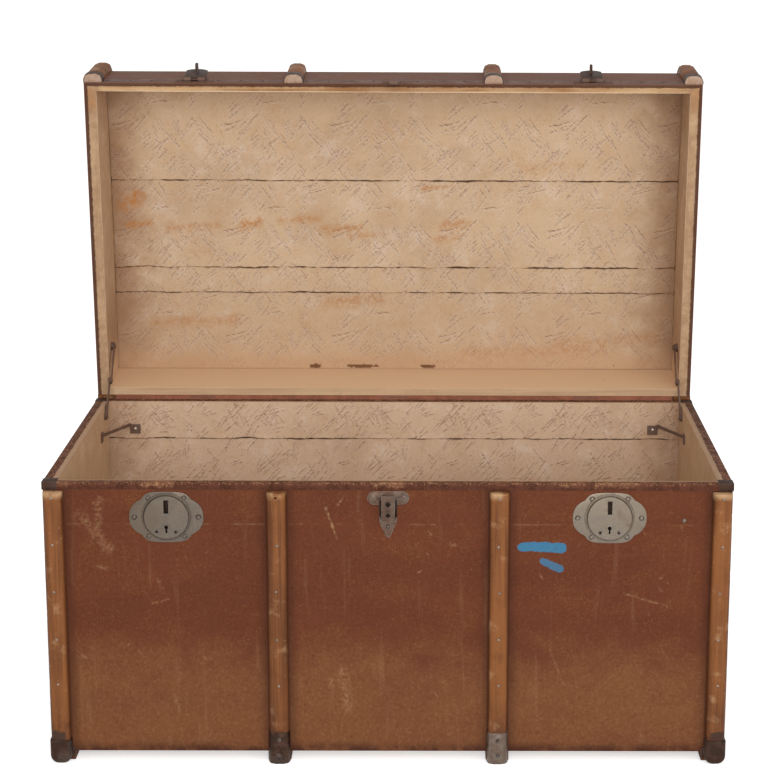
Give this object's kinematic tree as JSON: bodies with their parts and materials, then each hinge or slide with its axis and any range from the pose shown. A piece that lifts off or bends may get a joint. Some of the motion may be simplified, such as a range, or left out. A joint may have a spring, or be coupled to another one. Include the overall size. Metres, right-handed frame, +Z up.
{
  "type": "dome top trunk",
  "caption": "Travel trunk with an arched lid held open by folding stays: canvas over boards, wooden battens, paper lining, locks with hasps, a lever catch and drop handles.",
  "frame": {"origin": "on the floor under the middle of the open trunk's box", "axes": "+X along the trunk to the right as seen from the front, +Y from front to back, +Z up"},
  "size_m": [1.034, 0.6918, 0.9905],
  "materials": {
    "boards": "bare sawn pine, dark with age",
    "battens": "varnished ash, worn",
    "canvas": "oil-painted canvas, satin and scuffed",
    "lining": "embossed beige paper, stained",
    "tape": "painted binding tape",
    "dark_steel": "blackened pressed steel, worn and rusty",
    "aged_steel": "bare steel, tarnished",
    "nickel": "nickel plate, tarnished"
  },
  "bodies": {
    "chest": {"chest_front_boards": "boards", "chest_back_boards": "boards", "chest_left_end_board": "boards", "chest_right_end_board": "boards", "chest_floor_boards": "boards", "chest_canvas": "canvas", "chest_lining": "lining", "chest_rim_tape": "tape", "rim_corner_caps": "dark_steel", "front_batten_left": "battens", "front_batten_middle_left": "battens", "front_batten_middle_right": "battens", "front_batten_right": "battens", "back_battens": "battens", "bottom_runners": "boards", "middle_toe_caps": "dark_steel", "corner_toe_caps": "dark_steel", "hinge_chest_leaves": "aged_steel", "hinge_pins": "aged_steel", "lock_plate_left": "nickel", "lock_case_left": "aged_steel", "lock_plate_right": "nickel", "lock_case_right": "aged_steel", "lock_rivets": "nickel", "catch_base": "aged_steel", "catch_pin": "aged_steel", "stay_chest_pivots": "aged_steel", "tray_brackets": "dark_steel", "handle_plate_left": "dark_steel", "handle_plate_right": "dark_steel"},
    "lid": {"lid_front_board": "boards", "lid_back_board": "boards", "lid_left_end_board": "boards", "lid_right_end_board": "boards", "lid_top_planks": "boards", "lid_canvas": "canvas", "lid_lining": "lining", "lid_rim_tape": "tape", "lid_battens": "battens", "lid_batten_caps": "dark_steel", "hinge_lid_leaves": "aged_steel", "hasp_bases": "aged_steel", "hasp_pins": "aged_steel", "catch_keeper": "aged_steel", "stay_lid_pivots": "aged_steel"},
    "hasp_left": {"hasp_left": "aged_steel"},
    "hasp_right": {"hasp_right": "aged_steel"},
    "catch_lever": {"catch_lever": "aged_steel"},
    "lock_bolt_left": {"lock_bolt_left": "aged_steel"},
    "lock_bolt_right": {"lock_bolt_right": "aged_steel"},
    "stay_lower_left": {"stay_lower_arm_left": "aged_steel"},
    "stay_upper_left": {"stay_upper_arm_left": "aged_steel"},
    "stay_lower_right": {"stay_lower_arm_right": "aged_steel"},
    "stay_upper_right": {"stay_upper_arm_right": "aged_steel"},
    "handle_left": {"handle_bail_left": "dark_steel"},
    "handle_right": {"handle_bail_right": "dark_steel"}
  },
  "joints": [
    {"name": "lid_hinge", "type": "hinge", "parent": "chest", "child": "lid", "pos_m": [0, 0.20225, 0.4292], "axis": [1, 0, 0], "range_deg": [0, 85]},
    {"name": "hasp_left_hinge", "type": "hinge", "parent": "lid", "child": "hasp_left", "pos_m": [-0.322, 0.1632, 0.96734], "axis": [1, 0, 0], "range_deg": [0, 172]},
    {"name": "hasp_right_hinge", "type": "hinge", "parent": "lid", "child": "hasp_right", "pos_m": [0.322, 0.1632, 0.96734], "axis": [1, 0, 0], "range_deg": [0, 172]},
    {"name": "catch_lever_pivot", "type": "hinge", "parent": "chest", "child": "catch_lever", "pos_m": [0, -0.33735, 0.3743], "axis": [-1, 0, 0], "range_deg": [-120, 14]},
    {"name": "lock_bolt_left_slide", "type": "slide", "parent": "chest", "child": "lock_bolt_left", "axis": [1, 0, 0], "range_m": [0, 0.008]},
    {"name": "lock_bolt_right_slide", "type": "slide", "parent": "chest", "child": "lock_bolt_right", "axis": [1, 0, 0], "range_m": [0, 0.008]},
    {"name": "stay_lower_left_pivot", "type": "hinge", "parent": "chest", "child": "stay_lower_left", "pos_m": [-0.4802, 0.13775, 0.4132], "axis": [1, 0, 0], "range_deg": [0, 126]},
    {"name": "stay_upper_left_pivot", "type": "hinge", "parent": "lid", "child": "stay_upper_left", "pos_m": [-0.4802, 0.23313, 0.51221], "axis": [1, 0, 0], "range_deg": [-91, 0]},
    {"name": "stay_lower_right_pivot", "type": "hinge", "parent": "chest", "child": "stay_lower_right", "pos_m": [0.4802, 0.13775, 0.4132], "axis": [1, 0, 0], "range_deg": [0, 126]},
    {"name": "stay_upper_right_pivot", "type": "hinge", "parent": "lid", "child": "stay_upper_right", "pos_m": [0.4802, 0.23313, 0.51221], "axis": [1, 0, 0], "range_deg": [-91, 0]},
    {"name": "handle_left_pivot", "type": "hinge", "parent": "chest", "child": "handle_left", "pos_m": [-0.51, -0.06725, 0.27], "axis": [0, 1, 0], "range_deg": [0, 180]},
    {"name": "handle_right_pivot", "type": "hinge", "parent": "chest", "child": "handle_right", "pos_m": [0.51, -0.06725, 0.27], "axis": [0, -1, 0], "range_deg": [0, 180]}
  ],
  "couplings": [
    {"joint": "stay_lower_left_pivot", "follows": "lid_hinge", "ratio": 1.4803},
    {"joint": "stay_upper_left_pivot", "follows": "lid_hinge", "ratio": -1.0698},
    {"joint": "stay_lower_right_pivot", "follows": "lid_hinge", "ratio": 1.4803},
    {"joint": "stay_upper_right_pivot", "follows": "lid_hinge", "ratio": -1.0698}
  ]
}
